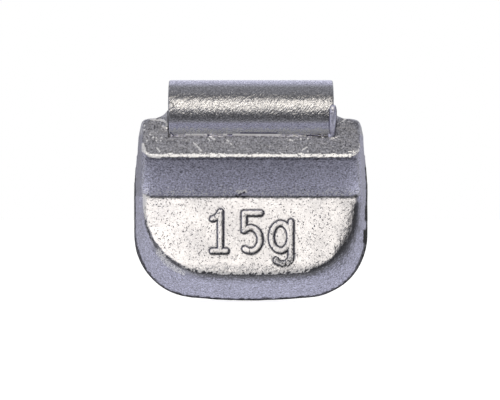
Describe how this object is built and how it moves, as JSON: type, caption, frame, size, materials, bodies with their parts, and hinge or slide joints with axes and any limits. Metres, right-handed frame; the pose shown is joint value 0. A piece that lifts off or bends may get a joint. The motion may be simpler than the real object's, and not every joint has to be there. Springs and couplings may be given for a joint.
{
  "type": "clip-on wheel balance weight",
  "caption": "Cast zinc balance weight with a rounded foot, a flat back and a steel hook clip that grips a steel wheel's rim lip.",
  "frame": {"origin": "on the axis of the clip's jaw, half way along it", "axes": "+X along the rim, +Y from the front face towards the rim, +Z away from the wheel's centre"},
  "size_m": [0.0236, 0.0105, 0.0217],
  "materials": {
    "cast_zinc": "bright die-cast zinc with a fine grain, polished on the front face",
    "spring_steel": "plated spring steel, finely scratched along the roll"
  },
  "bodies": {
    "root": {"weight_body": "cast_zinc", "spring_clip": "spring_steel"}
  },
  "joints": []
}
